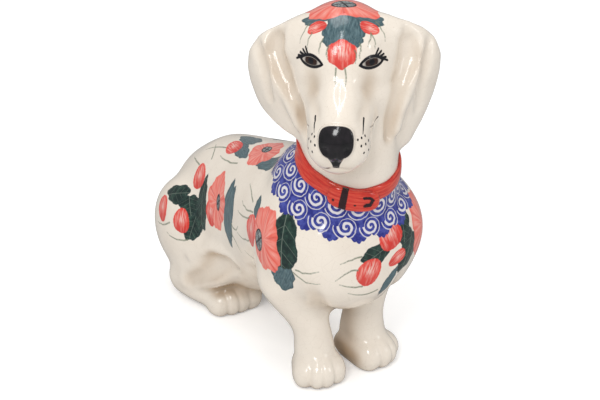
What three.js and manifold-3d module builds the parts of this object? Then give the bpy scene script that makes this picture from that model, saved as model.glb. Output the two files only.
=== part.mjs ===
// A sitting dachshund figurine in glazed stoneware, modelled as the castings that it is luted together from.
// Millimetres, +Z up. The dog's body faces -Y and is symmetric about X = 0; its head turns to its own right.
// The castings and sprigs are separate solids that meet face to face at their luted joints.
// The last step moves the whole dog, so that the origin is under the middle of its bounding box.

import * as THREE from "three";
import { mergeVertices } from "three/addons/utils/BufferGeometryUtils.js";
import { ParametricGeometry } from "three/addons/geometries/ParametricGeometry.js";
import Module from "manifold-3d";

const wasm = await Module();
wasm.setup();

// ---- Driving dimensions ----
const WALL = 5; // thickness of the slip-cast shell
const JOINT = 0.3; // gap left at each luted joint
const VENT_RADIUS = 9; // pour and vent hole under the body
const VENT_Y = 100;
const HEAD_AT = [-1, -13, 186.5]; // centre of the skull
const HEAD_TURN = THREE.MathUtils.degToRad(-37); // to the dog's right
const HEAD_PITCH = THREE.MathUtils.degToRad(14); // nose down
const COLLAR_AT = [1.5, -17, 134]; // centre of the strap's ring
const COLLAR_TILT = THREE.MathUtils.degToRad(21.5); // front down
const COLLAR_TURN = THREE.MathUtils.degToRad(-8); // its low point leans the way that the head does
const COLLAR_WIDTH = 8.8;
const COLLAR_THICKNESS = 2;
const TONGUE_LENGTH = 27; // the strap's free end, which lies over the strap at the front
const TONGUE_WIDTH = 10.5;
const TONGUE_THICKNESS = 1.8;
const TONGUE_DROP = 0.8; // of its middle below the strap's
const TONGUE_TURN = THREE.MathUtils.degToRad(-33); // it sits under the chin
const FORE_PAW_AT = [16.5, -12.5, 0];
const FORE_PAW_TURN = THREE.MathUtils.degToRad(20); // front paws turn out
const HIND_PAW_AT = [22, 82, 0];
const HIND_PAW_TURN = THREE.MathUtils.degToRad(-6);

const GLAZE = { roughness: 0.18, metalness: 0 };
const IVORY = new THREE.MeshStandardMaterial({ color: 0xe9dfd2, ...GLAZE });
const RED = new THREE.MeshStandardMaterial({ color: 0xc8372d, ...GLAZE });

// ---- Solids and cuts ----

/** A closed geometry as a manifold solid, in the geometry's own frame. */
function solid(geometry) {
  const bare = new THREE.BufferGeometry();
  bare.setAttribute("position", geometry.getAttribute("position"));
  bare.setIndex(geometry.index);
  const merged = mergeVertices(bare, 1e-3);
  const corners = [];
  for (let i = 0; i < merged.index.count; i += 3) {
    const [a, b, c] = [0, 1, 2].map((k) => merged.index.getX(i + k));
    if (a !== b && b !== c && c !== a) corners.push(a, b, c); // a pole's triangles lose one corner
  }
  const vertProperties = new Float32Array(merged.attributes.position.array);
  const mesh = new wasm.Mesh({ numProp: 3, vertProperties, triVerts: new Uint32Array(corners) });
  return new wasm.Manifold(mesh);
}

/** A manifold solid as a three.js geometry. */
function geometryOf(made) {
  const mesh = made.getMesh();
  const geometry = new THREE.BufferGeometry();
  geometry.setAttribute("position", new THREE.BufferAttribute(mesh.vertProperties, 3));
  geometry.setIndex(new THREE.BufferAttribute(mesh.triVerts, 1));
  geometry.computeVertexNormals();
  return geometry;
}

const join = (first, ...others) => others.reduce((made, other) => made.add(other), first);
const cut = (first, ...tools) => tools.reduce((made, tool) => made.subtract(tool), first);

/** Position and rotation as a matrix. The turn about Z comes after the tilt about X. */
function placed(at, tilt = 0, turn = 0) {
  const rotation = new THREE.Quaternion().setFromEuler(new THREE.Euler(tilt, 0, turn, "ZXY"));
  return new THREE.Matrix4().compose(new THREE.Vector3(...at), rotation, new THREE.Vector3(1, 1, 1));
}

/**
 * A closed skin of oval rings along a smooth centre line, with a dome at each end.
 * Each station is [x, y, z, half width, half depth]. The width lies along `side`, as nearly as the line allows.
 * `grow` moves the whole skin outwards, and `domes` are the end domes' lengths.
 */
function skin(stations, { side = [1, 0, 0], grow = 0, domes = [6, 6], around = 24, along = 16, frame } = {}) {
  const line = new THREE.CatmullRomCurve3(stations.map(([x, y, z]) => new THREE.Vector3(x, y, z)));
  const radii = new THREE.CatmullRomCurve3(stations.map(([, , , w, d]) => new THREE.Vector3(w, d, 0)));
  const domeShare = 0.15; // of the rings, at each end
  const wide = new THREE.Vector3();
  const deep = new THREE.Vector3();
  const surface = (u, v, target) => {
    const t = THREE.MathUtils.clamp((v - domeShare) / (1 - 2 * domeShare), 0, 1);
    const tangent = line.getTangent(t);
    const out = Math.max(0, domeShare - v, v - 1 + domeShare) / domeShare; // 0 on the tube, 1 at a pole
    const dome = v < 0.5 ? -domes[0] - grow : domes[1] + grow;
    const rise = Math.sin((out * Math.PI) / 2) * dome;
    const shrink = Math.cos((out * Math.PI) / 2);
    const { x: halfWidth, y: halfDepth } = radii.getPoint(t);
    wide.set(...side);
    wide.addScaledVector(tangent, -wide.dot(tangent)).normalize();
    deep.crossVectors(wide, tangent);
    target.copy(line.getPoint(t)).addScaledVector(tangent, rise);
    target.addScaledVector(wide, Math.cos(u * 2 * Math.PI) * (halfWidth + grow) * shrink);
    target.addScaledVector(deep, -Math.sin(u * 2 * Math.PI) * (halfDepth + grow) * shrink);
  };
  const geometry = new ParametricGeometry(surface, around, along);
  if (frame) geometry.applyMatrix4(frame);
  return solid(geometry);
}

/** An ellipsoid with semi-axes `radii`, turned about X and then Z. */
function egg(at, radii, { tilt = 0, turn = 0, grow = 0, fine = 20, frame } = {}) {
  const geometry = new THREE.SphereGeometry(1, fine, Math.round(fine * 0.6));
  geometry.scale(...radii.map((r) => r + grow));
  geometry.applyMatrix4(placed(at, tilt, turn));
  if (frame) geometry.applyMatrix4(frame);
  return solid(geometry);
}

/** A block far larger than the dog, whose bottom face is the plane z = 0 of `frame`. */
function halfSpaceAbove(frame) {
  const size = 600;
  return solid(new THREE.BoxGeometry(size, size, size).translate(0, 0, size / 2).applyMatrix4(frame));
}

const underFloor = solid(new THREE.BoxGeometry(600, 600, 100).translate(0, 0, -50));

// ---- Torso and haunches ----

const TORSO = [
  [1, -28, 82, 38, 35],
  [1, -6, 82, 47, 46],
  [0, 28, 78, 39, 41],
  [0, 60, 65, 35, 45],
  [0, 90, 53, 36, 48],
  [0, 112, 45, 36, 43],
  [0, 127, 38, 28, 34],
];
const NECK = [
  [0, 2, 84, 40, 42],
  [0, -5, 106, 36, 37],
  [1, -13, 121, 29.5, 31],
  [1.5, -17, 134, 25, 26.5],
  [0, -15, 152, 26, 27],
  [-2, -13, 178, 26.5, 27],
];
const torso = (grow, around, along) => skin(TORSO, { domes: [18, 15], grow, around, along });
const haunch = (side, grow) =>
  egg([side * 25, 105, 43], [20, 34, 34], { tilt: -0.35, turn: side * -0.12, grow, fine: 20 });
const seat = (grow) => egg([0, 104, 24], [33, 34, 27], { grow, fine: 20 });

/** The whole body from the neck down, before the collar's plane cuts it off. */
function bodyForm(grow = 0) {
  return join(
    torso(grow, 28, 16),
    skin(NECK, { grow, around: 24, along: 12 }),
    haunch(1, grow),
    haunch(-1, grow),
    seat(grow),
  );
}

// ---- Head, in its own frame: X to the dog's left, -Y to its nose ----

const HEAD_FRAME = placed(HEAD_AT, HEAD_PITCH, HEAD_TURN);
const SKULL_AT = [0, 2, 1];
const SKULL = [27, 31, 27];
const MUZZLE = [
  [0, 0, -9, 24, 24],
  [0, -20, -12, 20, 21],
  [0, -36, -17, 16.5, 19],
  [0, -50, -20, 14, 17],
];

/** Skull, cheeks and muzzle. */
function headForm(grow = 0) {
  return join(
    egg(SKULL_AT, SKULL, { grow, fine: 24 }),
    skin(MUZZLE, { domes: [8, 9], grow, around: 20, along: 14 }),
  );
}

const toHead = HEAD_FRAME.clone().invert();
const neckInHead = (grow) => skin(NECK, { grow, frame: toHead, around: 24, along: 12 });

// The left ear hangs straight; the right one follows the neck inwards. Both are given for the left side.
const LEFT_EAR = [
  [20, 3, 12, 5, 10],
  [32, 3, 7, 5, 13],
  [39, 1, -2, 4.5, 17],
  [38, -2, -13, 4, 18],
  [34.5, -6, -31, 4, 14],
  [31.5, -9, -43, 3.5, 8],
];
const RIGHT_EAR = [
  [20, 3, 9, 5, 10],
  [32, 3, 3, 5, 12],
  [39.5, 1, -6, 4.5, 16],
  [39, -1, -17, 4, 17],
  [34, -5, -30, 4, 15],
  [27, -9, -44, 4, 11],
  [23, -11, -51, 3.5, 7],
];
const EAR_SIDE = [0.77, -0.64, 0]; // the flap's outer face looks out and forward

// ---- Legs ----

const FORELEG = [
  [33, -1, 74, 12, 18],
  [33, -2, 62, 12.5, 16],
  [25, -6, 47, 11.5, 13],
  [18, -10, 32, 10.5, 11],
  [17, -12, 16, 11.5, 12.5],
];
const TOE_SPREAD = [-10, -3.4, 3.4, 10];
const TOE = [5.4, 9.5, 9.5];
const PALM = [14.5, 17.5, 12];

/** A paw in `frame`, with its toes to -Y and its sole below z = 0. */
function paw(frame, scale = 1) {
  const sized = (radii) => radii.map((r) => r * scale);
  const toes = TOE_SPREAD.map((x) => egg(sized([x, Math.abs(x) * 0.45 - 12, 7]), sized(TOE), { frame, fine: 9 }));
  return join(egg(sized([0, -3, 8]), sized(PALM), { frame, fine: 16 }), ...toes);
}

function foreleg() {
  return join(skin(FORELEG, { domes: [8, 8], around: 18, along: 12 }), paw(placed(FORE_PAW_AT, 0, FORE_PAW_TURN)));
}

const HOCK = [33, 109, 12];
const SHANK = [
  [...HOCK, 10, 11],
  [34, 92, 19, 9, 10],
  [31, 66, 34, 9, 10],
];
const METATARSUS = [
  [...HOCK, 10, 12],
  [29, 94, 11, 12, 11],
  [24, 80, 10, 12.5, 10],
];

function hindLeg() {
  return join(
    skin(SHANK, { around: 16, along: 9 }),
    skin(METATARSUS, { around: 16, along: 9 }),
    paw(placed(HIND_PAW_AT, 0, HIND_PAW_TURN), 0.95),
  );
}

// The tail lies curled on the ground, round to the dog's left.
const TAIL = [
  [2, 128, 14, 9, 9],
  [10, 141, 8, 6.5, 7],
  [26, 146, 6.5, 5.5, 6],
  [41, 139, 5.5, 4.5, 5],
];

// ---- The castings ----

const collarFrame = placed(COLLAR_AT, COLLAR_TILT, COLLAR_TURN);
const collarFrameMoved = (...by) => collarFrame.clone().multiply(new THREE.Matrix4().makeTranslation(...by));

function bodyCasting() {
  const hollow = join(torso(-WALL, 16, 10), skin(NECK, { grow: -WALL, around: 16, along: 8 }));
  const bore = new THREE.CylinderGeometry(VENT_RADIUS, VENT_RADIUS, 40, 24);
  const vent = solid(bore.rotateX(Math.PI / 2).translate(0, VENT_Y, 0));
  return cut(bodyForm(), halfSpaceAbove(collarFrameMoved(0, 0, -JOINT / 2)), underFloor, hollow, vent);
}

function headCasting() {
  const above = halfSpaceAbove(toHead.clone().multiply(collarFrameMoved(0, 0, JOINT / 2)));
  const form = join(headForm(), neckInHead(0).intersect(above));
  const hollow = join(egg(SKULL_AT, SKULL, { grow: -WALL, fine: 16 }), neckInHead(-WALL));
  return cut(form, hollow);
}

function ear(stations, mirrored) {
  const flap = skin(stations, { side: EAR_SIDE, domes: [4, 7], around: 16, along: 16 });
  const strapTop = toHead.clone().multiply(collarFrameMoved(0, 0, COLLAR_WIDTH / 2 + JOINT));
  const below = cut(solid(new THREE.BoxGeometry(200, 200, 200)), halfSpaceAbove(strapTop));
  const behind = join(headForm(JOINT), neckInHead(JOINT), below);
  return cut(flap, mirrored ? behind.mirror([1, 0, 0]) : behind);
}

/** Ring of the body's form between two heights above the collar's middle, `inner` to `outer` mm off the clay. */
function band(width, inner, outer, rise = 0) {
  const bottom = halfSpaceAbove(collarFrameMoved(0, 0, rise - width / 2));
  const top = halfSpaceAbove(collarFrameMoved(0, 0, rise + width / 2));
  return cut(bodyForm(outer).intersect(bottom.subtract(top)), bodyForm(inner));
}

const collarStrap = () => band(COLLAR_WIDTH, JOINT, COLLAR_THICKNESS);

function collarTongue() {
  const front = new THREE.BoxGeometry(TONGUE_LENGTH, 60, 60).translate(0, -32, 0);
  front.applyMatrix4(placed(COLLAR_AT, 0, TONGUE_TURN));
  const outer = COLLAR_THICKNESS + TONGUE_THICKNESS;
  return band(TONGUE_WIDTH, COLLAR_THICKNESS + JOINT, outer, -TONGUE_DROP).intersect(solid(front));
}

// ---- Assembly ----

const dog = new THREE.Group();
const head = new THREE.Group();
head.applyMatrix4(HEAD_FRAME);
dog.add(head);

function add(name, made, material, group = dog, mirrored = false) {
  const mesh = new THREE.Mesh(geometryOf(made), material);
  mesh.name = name;
  if (mirrored) mesh.scale.x = -1;
  group.add(mesh);
}

const luted = bodyForm(JOINT);
add("body_casting", bodyCasting(), IVORY);
add("head_casting", headCasting(), IVORY, head);
for (const [side, mirrored, stations] of [["left", false, LEFT_EAR], ["right", true, RIGHT_EAR]]) {
  add(`${side}_ear`, ear(stations, mirrored), IVORY, head, mirrored);
  add(`${side}_foreleg`, cut(foreleg(), luted, underFloor), IVORY, dog, mirrored);
  add(`${side}_hind_leg`, cut(hindLeg(), luted, underFloor), IVORY, dog, mirrored);
}
add("tail", cut(skin(TAIL, { side: [0, 0, 1], domes: [5, 5], around: 12, along: 12 }), luted, underFloor), IVORY);
add("collar_strap", collarStrap(), RED);
add("collar_tongue", collarTongue(), RED);

const box = new THREE.Box3().setFromObject(dog, true);
dog.position.set(-(box.min.x + box.max.x) / 2, -(box.min.y + box.max.y) / 2, -box.min.z);

export default dog;
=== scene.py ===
"""The looks of the sitting dachshund figurine, built around its packed castings.

All the shaping is done in the dog's own frame: millimetres, +Z up, chest to -Y, symmetric about X = 0.
The castings are read into one distance field, whose joints are filled and whose facets are smoothed
as slip and glaze do. Its surface is meshed, modelled further and split into one closed piece for each
casting. The painting is stored on the points as distances to each painted outline, and the materials
turn them into brushwork.
"""

import math

import bpy
import numpy as np
import openvdb
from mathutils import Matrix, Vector


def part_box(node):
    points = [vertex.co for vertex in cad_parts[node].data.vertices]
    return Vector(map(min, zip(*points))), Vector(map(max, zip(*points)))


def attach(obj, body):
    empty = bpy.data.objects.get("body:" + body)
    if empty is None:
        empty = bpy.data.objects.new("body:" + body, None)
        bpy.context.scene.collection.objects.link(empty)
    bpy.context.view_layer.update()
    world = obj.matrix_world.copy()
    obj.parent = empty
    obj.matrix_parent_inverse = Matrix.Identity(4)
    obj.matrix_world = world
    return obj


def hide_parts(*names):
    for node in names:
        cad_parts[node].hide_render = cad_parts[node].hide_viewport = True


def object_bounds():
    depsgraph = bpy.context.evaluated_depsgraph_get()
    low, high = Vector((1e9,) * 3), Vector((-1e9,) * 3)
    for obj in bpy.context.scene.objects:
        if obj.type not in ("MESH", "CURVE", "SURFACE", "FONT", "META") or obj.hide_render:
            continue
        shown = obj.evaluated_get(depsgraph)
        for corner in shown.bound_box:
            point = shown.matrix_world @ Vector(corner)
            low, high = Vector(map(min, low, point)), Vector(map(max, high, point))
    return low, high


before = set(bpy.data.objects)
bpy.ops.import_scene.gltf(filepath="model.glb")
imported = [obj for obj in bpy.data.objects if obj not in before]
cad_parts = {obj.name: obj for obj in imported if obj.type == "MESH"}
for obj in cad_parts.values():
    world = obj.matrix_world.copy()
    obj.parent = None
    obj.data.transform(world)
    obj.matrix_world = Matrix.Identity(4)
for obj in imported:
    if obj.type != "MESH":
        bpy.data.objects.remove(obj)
CAD_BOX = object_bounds()

# ---- Driving dimensions, in millimetres and degrees, in the dog's own frame ----

CHEST_FRONT = -46.0  # Y of the body casting's front, which places the dog's frame in the row's
FLANK = -45.8  # X of the body casting's right side

HEAD_AT = np.array([-1.0, -13.0, 186.5])
HEAD_TURN = -37.0
HEAD_PITCH = 14.0
COLLAR_AT = np.array([1.5, -17.0, 134.0])
COLLAR_TILT = 21.5
COLLAR_TURN = -8.0
COLLAR_WIDTH = 8.8
TONGUE_LENGTH = 27.0
TONGUE_WIDTH = 10.5
TONGUE_DROP = 4.4
VENT_Y = 100.0
VENT_RADIUS = 8.5
VENT_DEPTH = 24.0

CELL = 1.4  # field spacing; the final mesh is twice as fine
BAND = 12.0  # how far from the surface distances are kept
BODY_SMOOTHING = 4.2  # widths of the filters that take the castings' facets away
FACE_SMOOTHING = 3.0
FINE_SMOOTHING = 1.7  # on ears and paws
FINAL_BLUR = 0.8
MARGIN = 10.0

EARS = ("left_ear", "right_ear")
FORELEGS = ("left_foreleg", "right_foreleg")
HIND_LEGS = ("left_hind_leg", "right_hind_leg")
CASTINGS = ("body_casting", "head_casting") + EARS + FORELEGS + HIND_LEGS + ("tail",)

# Clay in the luted joints.
NECK_FILLET = 2.0
FILLET = 3.0  # of the ears, the legs and the tail
EAR_ROOT_FILLET = 13.0  # where the ears leave the skull
EAR_ROOT = (172.0, 196.0)  # heights between which the fillet grows to that


# ---- Frames ----

def rotation(tilt, turn):
    """Turn about Z after a tilt about X, in degrees, as columns of the tilted frame's axes."""
    a, b = math.radians(turn), math.radians(tilt)
    about_z = np.array([[math.cos(a), -math.sin(a), 0], [math.sin(a), math.cos(a), 0], [0, 0, 1]])
    about_x = np.array([[1, 0, 0], [0, math.cos(b), -math.sin(b)], [0, math.sin(b), math.cos(b)]])
    return about_z @ about_x


HEAD_AXES = rotation(HEAD_PITCH, HEAD_TURN)
COLLAR_AXES = rotation(COLLAR_TILT, COLLAR_TURN)
body_low = np.array(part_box("body_casting")[0]) * 1000
SHIFT = np.array([body_low[0] - FLANK, body_low[1] - CHEST_FRONT, 0.0])


def to_dog(metres):
    return np.asarray(metres, float) * 1000 - SHIFT


def to_row(points):
    return (np.asarray(points, float) + SHIFT) / 1000


def in_head(points):
    return (points - HEAD_AT) @ HEAD_AXES


def in_collar(points):
    return (points - COLLAR_AT) @ COLLAR_AXES


def smoothstep(low, high, x):
    t = np.clip((x - low) / (high - low), 0, 1)
    return t * t * (3 - 2 * t)


# ---- The castings as distance fields ----

GRID_LOW = np.floor((to_dog(CAD_BOX[0]) - MARGIN) / CELL).astype(int)
GRID_HIGH = np.ceil((to_dog(CAD_BOX[1]) + MARGIN) / CELL).astype(int)
GRID_SHAPE = tuple(GRID_HIGH - GRID_LOW + 1)


def level_set(points, triangles=None, quads=None):
    """Signed distance, in mm, to a closed mesh on the shared grid."""
    grid = openvdb.FloatGrid.createLevelSetFromPolygons(
        points.astype(np.float32),
        triangles=triangles,
        quads=quads,
        transform=openvdb.createLinearTransform(voxelSize=CELL),
        halfWidth=BAND / CELL,
    )
    field = np.empty(GRID_SHAPE, np.float32)
    grid.copyToArray(field, ijk=tuple(int(i) for i in GRID_LOW))
    return field


def grid_places():
    """The grid's places in mm, in a column."""
    axes = [(np.arange(n) + low) * CELL for n, low in zip(GRID_SHAPE, GRID_LOW)]
    return np.stack(np.meshgrid(*axes, indexing="ij"), 3).reshape(-1, 3)


def node_field(name):
    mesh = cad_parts[name].data
    mesh.calc_loop_triangles()
    points = np.empty(len(mesh.vertices) * 3)
    mesh.vertices.foreach_get("co", points)
    corners = np.empty(len(mesh.loop_triangles) * 3, np.int32)
    mesh.loop_triangles.foreach_get("vertices", corners)
    return level_set(to_dog(points.reshape(-1, 3)), triangles=corners.reshape(-1, 3).astype(np.uint32))


def soft_union(a, b, radius):
    """Union whose inner corners are filled to about `radius`."""
    reach = np.clip(radius - np.abs(a - b), 0, None) / radius
    return np.minimum(a, b) - reach * reach * radius / 4


def fill_hollow(field):
    """Makes the cast hollow solid: it is what has clay on both sides in X and in Y, and above."""
    clay = field < 0
    walled = ~clay
    for axis in (0, 1):
        walled &= np.logical_or.accumulate(clay, axis)
        walled &= np.flip(np.logical_or.accumulate(np.flip(clay, axis), axis), axis)
    walled &= np.flip(np.logical_or.accumulate(np.flip(clay, 2), 2), 2)
    return np.where(walled, np.float32(-CELL), field)


def surface_of(field):
    """The surface of a field as points in mm and quads."""
    grid = openvdb.FloatGrid(BAND)
    grid.transform = openvdb.createLinearTransform(voxelSize=CELL)
    grid.copyFromArray(np.ascontiguousarray(field), ijk=tuple(int(i) for i in GRID_LOW))
    points, quads = grid.convertToQuads(0.0)
    return points.astype(float), quads.astype(np.int64)


def blurred(field, sigma):
    """Gaussian blur, with `sigma` in mm."""
    reach = int(math.ceil(3 * sigma / CELL))
    weights = np.exp(-0.5 * (np.arange(-reach, reach + 1) * CELL / sigma) ** 2)
    weights /= weights.sum()
    for axis in range(3):
        pad = [(reach, reach) if i == axis else (0, 0) for i in range(3)]
        wide = np.pad(field, pad, mode="edge")
        length = field.shape[axis]
        window = [slice(None)] * 3
        total = np.zeros_like(field)
        for k, weight in enumerate(weights):
            window[axis] = slice(k, k + length)
            total += np.float32(weight) * wide[tuple(window)]
        field = total
    return field


def unfaceted(field, sigma):
    """Low-pass filter that smooths facets away and keeps round forms at their size."""
    once = blurred(field, sigma)
    return 2 * once - blurred(once, sigma)


def sample(field, points):
    """Trilinear value of a field at points in mm."""
    at = points / CELL - GRID_LOW
    base = np.clip(np.floor(at).astype(int), 0, np.array(field.shape) - 2)
    t = np.clip(at - base, 0, 1)
    i, j, k = base.T
    value = 0
    for di in (0, 1):
        for dj in (0, 1):
            for dk in (0, 1):
                weight = (
                    (t[:, 0] if di else 1 - t[:, 0])
                    * (t[:, 1] if dj else 1 - t[:, 1])
                    * (t[:, 2] if dk else 1 - t[:, 2])
                )
                value = value + weight * field[i + di, j + dj, k + dk]
    return value


def slope(field, points, step=CELL * 0.75):
    """Gradient of a field at points."""
    columns = []
    for axis in range(3):
        move = np.zeros(3)
        move[axis] = step
        columns.append((sample(field, points + move) - sample(field, points - move)) / (2 * step))
    return np.stack(columns, 1)


def unit(vectors):
    return vectors / np.maximum(np.linalg.norm(vectors, axis=1, keepdims=True), 1e-9)


fields = {name: node_field(name) for name in CASTINGS}


# Clay that closes the gap between each ear and the head, behind the crease: centre and reach in the
# head's frame, for the left side.
WEB_AT = (31, -3, -15)
WEB_REACH = (8, 9, 20)
WEB_EDGE = 3.0

# Rolls along the ears' front edges, and hollows pressed beside them, left and right: X, Y, Z and radius
# of places along each, in the head's frame.
EAR_ROLLS = [
    [
        (36, 7, 12, 1.0), (37.5, 3, 7, 3.6), (37, -3, 1, 4.0),
        (33, -10, -8, 4.0), (28.5, -15.5, -20, 4.0), (27, -18, -30, 3.6),
    ],
    [(-38, 8, 8, 1.0), (-38.5, 4, 4, 3.6), (-36, -2, -2, 4.0), (-28, -13, -12, 4.0), (-21, -19, -28, 3.6)],
]
EAR_HOLLOWS = [
    [
        (32, 3, 17, 1.5), (34, -1.5, 12, 5.6), (34, -5.5, 6, 6.0),
        (30, -15, -5, 4.0), (27, -19, -16, 3.2), (24.5, -24, -31, 2.6),
    ],
    [
        (-32, 4, 16, 1.5), (-35, 2, 10, 5.2), (-35.5, -2, 5, 5.6),
        (-29, -13, -6, 4.0), (-21, -21, -16, 3.0), (-18, -26, -30, 2.6),
    ],
    [(45, 6, 8, 2.4), (44, 0, 2, 3.2), (41, -7, -10, 3.2), (40, -8, -25, 2.2)],
    [(-45, 5, 3, 2.4), (-42, -3, -3, 3.2), (-40, -8, -11, 3.0), (-38, -9, -20, 2.2)],
]
EAR_EDGE = 3.5  # softness of those rolls' and hollows' edges

# The same for the body, in the dog's frame: the hollow under each haunch and its rolled edge, given for
# the left side, and the creases beside the right and left forelegs.
HAUNCH_HOLLOW = [(42, 87, 20, 3.6), (40, 74, 29, 5.0), (35.5, 65, 38, 7.0), (31, 56, 42, 5.0)]
HAUNCH_ROLL = [
    (38, 87, 37, 3.0), (35, 80, 43, 4.0), (32.5, 72.5, 47, 4.2), (30.5, 61, 49.5, 4.0), (28.5, 52, 48, 3.0),
]
FORELEG_CREASES = [
    [(-34, -35, 70, 2.2), (-31, -33, 62.5, 3.6), (-24, -27, 51, 4.0), (-16, -24, 43.5, 4.0)],
    [(20, -43, 66, 2.2), (19, -38, 57, 3.2), (17, -29, 47, 3.6)],
]
BODY_EDGE = 4.5


def both_sides(line):
    return [[(side * x, y, z, radius) for x, y, z, radius in line] for side in (-1, 1)]


def cord(at, line):
    """Distance field of a round cord whose radius changes along its line."""
    nearest = np.full(len(at), BAND)
    for start, end in zip(line[:-1], line[1:]):
        start, end = np.array(start, float), np.array(end, float)
        step = (end - start)[:3]
        share = np.clip((at - start[:3]) @ step / (step @ step), 0, 1)
        away = np.linalg.norm(at - start[:3] - share[:, None] * step, axis=1)
        nearest = np.minimum(nearest, away - start[3] - share * (end[3] - start[3]))
    return nearest.reshape(GRID_SHAPE).astype(np.float32)


def webbed(solid):
    at = in_head(grid_places())
    at[:, 0] = np.abs(at[:, 0])
    share = np.linalg.norm((at - np.array(WEB_AT)) / np.array(WEB_REACH), axis=1)
    web = ((share - 1) * min(WEB_REACH)).reshape(GRID_SHAPE)
    return soft_union(solid, np.minimum(web, BAND).astype(np.float32), WEB_EDGE)


def modelled(solid, at, rolls, hollows, edge):
    """Adds rolls of clay, then presses hollows, with soft edges."""
    for line in rolls:
        solid = soft_union(solid, cord(at, line), edge)
    for line in hollows:
        solid = -soft_union(-solid, cord(at, line), edge)
    return solid


def fused_field():
    """All the castings as one solid, with filled joints and no facets."""
    heights = (np.arange(GRID_SHAPE[2]) + GRID_LOW[2]) * CELL
    fillet = FILLET + (EAR_ROOT_FILLET - FILLET) * smoothstep(*EAR_ROOT, heights)
    fused = soft_union(fields["body_casting"], fields["head_casting"], NECK_FILLET)
    for name in CASTINGS[2:]:
        fused = soft_union(fused, fields[name], fillet)
    points, quads = surface_of(fill_hollow(webbed(fused)))
    whole = level_set(points, quads=quads.astype(np.uint32))
    thin = np.minimum.reduce([fields[name] for name in EARS])
    fine = 1 - smoothstep(2, 8, thin)
    fine = np.maximum(fine, 1 - smoothstep(14, 30, heights)[None, None, :])
    face = 1 - smoothstep(0, 12, fields["head_casting"])
    smooth = unfaceted(whole, BODY_SMOOTHING)
    smooth += face * (unfaceted(whole, FACE_SMOOTHING) - smooth)
    smooth += fine * (unfaceted(whole, FINE_SMOOTHING) - smooth)
    return smooth.astype(np.float32)


def drilled(solid):
    """Opens the vent hole under the seat."""
    x, y, z = grid_places().T
    bore = np.maximum(np.hypot(x, y - VENT_Y) - VENT_RADIUS, z - VENT_DEPTH).reshape(GRID_SHAPE)
    return np.maximum(solid, -bore).astype(np.float32)


def whole_dog():
    solid = fused_field()
    solid = modelled(solid, in_head(grid_places()), EAR_ROLLS, EAR_HOLLOWS, EAR_EDGE)
    creases = both_sides(HAUNCH_HOLLOW) + FORELEG_CREASES
    solid = modelled(solid, grid_places(), both_sides(HAUNCH_ROLL), creases, BODY_EDGE)
    return drilled(blurred(solid, FINAL_BLUR))


field = whole_dog()


# ---- The mesh of the whole dog ----

def edges_of(quads):
    """Each side of each quad as (low, high) point numbers, one row per side."""
    ends = np.stack([quads, np.roll(quads, -1, 1)], 2).reshape(-1, 2)
    return np.sort(ends, 1)


def neighbour_mean(points, edges):
    ends = np.concatenate([edges[:, 0], edges[:, 1]])
    others = np.concatenate([edges[:, 1], edges[:, 0]])
    count = np.maximum(np.bincount(ends, minlength=len(points)), 1)
    columns = range(points.shape[1])
    sums = [np.bincount(ends, points[others, column], len(points)) for column in columns]
    return np.stack(sums, 1) / count[:, None]


def settled(points, rounds=2):
    """Moves points onto the fused surface."""
    for _ in range(rounds):
        gradient = slope(field, points)
        steep = np.maximum((gradient * gradient).sum(1), 0.2)
        points = points - gradient * (sample(field, points) / steep)[:, None]
    return points


def evened(points, edges, seam, rounds):
    """Spreads points evenly over the surface. Points on a seam move only along it."""
    on_seam = np.zeros(len(points), bool)
    on_seam[seam.ravel()] = True
    for _ in range(rounds):
        target = np.where(on_seam[:, None], neighbour_mean(points, seam), neighbour_mean(points, edges))
        step = target - points
        normals = unit(slope(field, points))
        step -= normals * (step * normals).sum(1, keepdims=True)
        points = settled(points + 0.5 * step, 1)
    return points


def subdivided(points, quads):
    """Splits each quad into four. The four parts of quad i are quads 4i to 4i + 3."""
    edges = edges_of(quads)
    codes, side = np.unique(edges[:, 0] * len(points) + edges[:, 1], return_inverse=True)
    middles = (points[codes // len(points)] + points[codes % len(points)]) / 2
    middle_at = len(points) + side.reshape(-1, 4)
    centre_at = len(points) + len(middles) + np.arange(len(quads))
    parts = [
        np.stack([quads[:, k], middle_at[:, k], centre_at, middle_at[:, k - 1]], 1)
        for k in range(4)
    ]
    return np.concatenate([points, middles, points[quads].mean(1)]), np.stack(parts, 1).reshape(-1, 4)


def vertex_normals(points, quads):
    a, b, c, d = (points[quads[:, k]] for k in range(4))
    face = np.cross(c - a, d - b)
    sums = [
        sum(np.bincount(quads[:, k], face[:, axis], len(points)) for k in range(4))
        for axis in range(3)
    ]
    return unit(np.stack(sums, 1))


# ---- Which casting each face belongs to ----

def neighbour_faces(quads):
    """Pairs of faces that share an edge, and that edge."""
    edges = edges_of(quads)
    codes = edges[:, 0] * (quads.max() + 1) + edges[:, 1]
    order = np.argsort(codes, kind="stable")
    same = codes[order][1:] == codes[order][:-1]
    first, second = order[:-1][same], order[1:][same]
    return first // 4, second // 4, edges[first]


def grown_owners(owner, first, second):
    """Gives each face without an owner that of a neighbour, until all have one."""
    while (owner < 0).any():
        for a, b in ((first, second), (second, first)):
            empty = (owner[a] < 0) & (owner[b] >= 0)
            owner[a[empty]] = owner[b[empty]]
    return owner


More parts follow.
